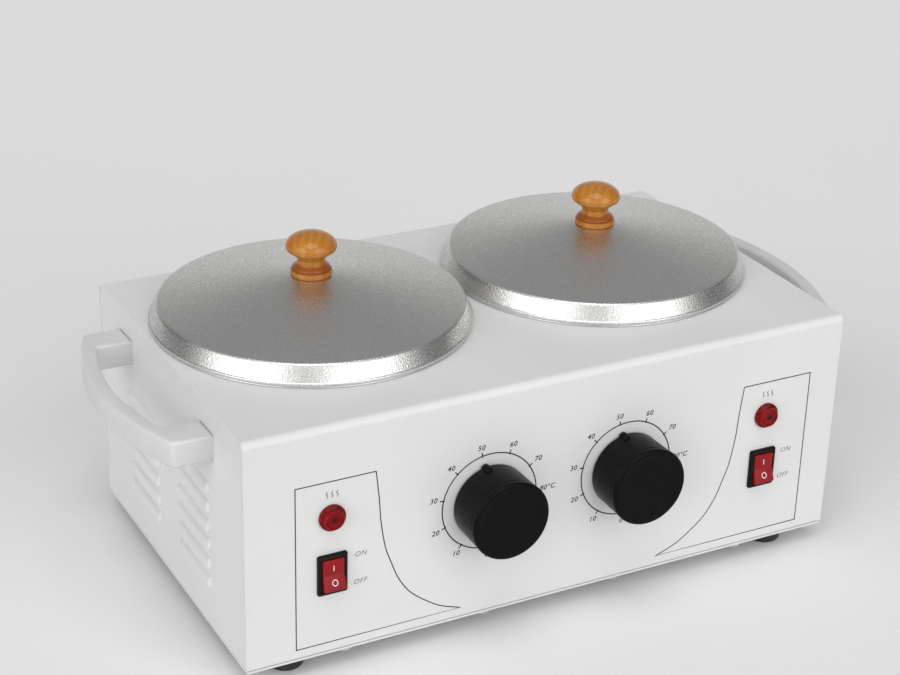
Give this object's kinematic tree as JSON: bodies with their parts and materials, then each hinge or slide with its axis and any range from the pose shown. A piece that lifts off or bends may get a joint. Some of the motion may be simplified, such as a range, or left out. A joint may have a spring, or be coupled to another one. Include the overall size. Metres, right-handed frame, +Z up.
{
  "type": "double pot wax warmer",
  "caption": "Sheet-steel warmer with removable round wax pots side by side under conical lids, each with its own thermostat dial, lamp and rocker switch.",
  "frame": {"origin": "middle of the overall box in plan, on the surface that the feet stand on", "axes": "+X to the right as seen from the front, along the row of controls; +Y to the rear; +Z up"},
  "size_m": [0.3908, 0.2232, 0.1744],
  "materials": {
    "white_paint": "white powder coat, semi-gloss",
    "zinc_steel": "zinc-plated",
    "spun_aluminium": "spun, satin with a fine grain",
    "drawn_aluminium": "deep-drawn, mill finish",
    "white_plastic": "moulded, semi-gloss",
    "black_plastic": "moulded, satin",
    "switch_plastic": "moulded, semi-gloss",
    "red_plastic": "moulded, semi-gloss",
    "red_lens": "moulded, clear red, glossy",
    "black_rubber": "moulded, matte",
    "turned_wood": "turned and varnished, glossy",
    "mica_sheet": "pressed mica sheet",
    "fibre_board": "pressed ceramic fibre",
    "copper_tube": "drawn copper, dull",
    "brass": "machined or stamped",
    "block_plastic": "moulded, off-white",
    "bulb_glass": "clear glass",
    "red_sleeve": "silicone-covered wire",
    "earth_sleeve": "green and yellow covered wire"
  },
  "bodies": {
    "housing": {"cover": "white_paint", "end_panel_left": "white_paint", "end_panel_right": "white_paint", "base_plate": "white_paint", "base_screws": "zinc_steel", "m4_screws": "zinc_steel", "m4_nuts": "zinc_steel", "handle_screws": "zinc_steel", "handle_washers": "zinc_steel", "clamp_plates": "zinc_steel", "thermostat_left": "zinc_steel", "thermostat_right": "zinc_steel", "thermostat_screws": "zinc_steel", "sensor_clips": "zinc_steel", "switch_terminals": "zinc_steel", "lamp_nuts": "zinc_steel", "terminal_screws": "zinc_steel", "well_left": "drawn_aluminium", "well_right": "drawn_aluminium", "handle_left": "white_plastic", "handle_right": "white_plastic", "cord_gland": "black_plastic", "gland_nut": "black_plastic", "lamp_holders": "black_plastic", "switch_left": "switch_plastic", "switch_right": "switch_plastic", "lamp_lens_left": "red_lens", "lamp_lens_right": "red_lens", "foot_front_left": "black_rubber", "foot_front_right": "black_rubber", "foot_rear_left": "black_rubber", "foot_rear_right": "black_rubber", "heater_left": "mica_sheet", "heater_right": "mica_sheet", "insulation_pads": "fibre_board", "sensor_left": "copper_tube", "sensor_right": "copper_tube", "thermostat_terminals": "brass", "terminal_sleeves": "brass", "terminal_block": "block_plastic", "neon_bulbs": "bulb_glass", "wires_left": "red_sleeve", "wires_right": "red_sleeve", "earth_wire": "earth_sleeve"},
    "pot_left": {"wax_pot_left": "drawn_aluminium"},
    "pot_right": {"wax_pot_right": "drawn_aluminium"},
    "lid_left": {"lid_shell_left": "spun_aluminium", "lid_knob_left": "turned_wood", "lid_screw_left": "zinc_steel"},
    "lid_right": {"lid_shell_right": "spun_aluminium", "lid_knob_right": "turned_wood", "lid_screw_right": "zinc_steel"},
    "dial_left": {"dial_knob_left": "black_plastic", "dial_shaft_left": "zinc_steel"},
    "dial_right": {"dial_knob_right": "black_plastic", "dial_shaft_right": "zinc_steel"},
    "rocker_left": {"switch_rocker_left": "red_plastic"},
    "rocker_right": {"switch_rocker_right": "red_plastic"}
  },
  "joints": [
    {"name": "pot_lift_left", "type": "slide", "parent": "housing", "child": "pot_left", "axis": [0, 0, 1], "range_m": [0, 0.09]},
    {"name": "lid_lift_left", "type": "slide", "parent": "pot_left", "child": "lid_left", "axis": [0, 0, 1], "range_m": [0, 0.08]},
    {"name": "dial_turn_left", "type": "hinge", "parent": "housing", "child": "dial_left", "pos_m": [-0.0378, -0.0894, 0.0711], "axis": [0, 1, 0], "range_deg": [-167.8, 100.6]},
    {"name": "rocker_tilt_left", "type": "hinge", "parent": "housing", "child": "rocker_left", "pos_m": [-0.1197, -0.0899, 0.0528], "axis": [1, 0, 0], "range_deg": [0, 22]},
    {"name": "pot_lift_right", "type": "slide", "parent": "housing", "child": "pot_right", "axis": [0, 0, 1], "range_m": [0, 0.09]},
    {"name": "lid_lift_right", "type": "slide", "parent": "pot_right", "child": "lid_right", "axis": [0, 0, 1], "range_m": [0, 0.08]},
    {"name": "dial_turn_right", "type": "hinge", "parent": "housing", "child": "dial_right", "pos_m": [0.0378, -0.0894, 0.0711], "axis": [0, 1, 0], "range_deg": [-167.8, 100.6]},
    {"name": "rocker_tilt_right", "type": "hinge", "parent": "housing", "child": "rocker_right", "pos_m": [0.1197, -0.0899, 0.0528], "axis": [1, 0, 0], "range_deg": [0, 22]}
  ]
}
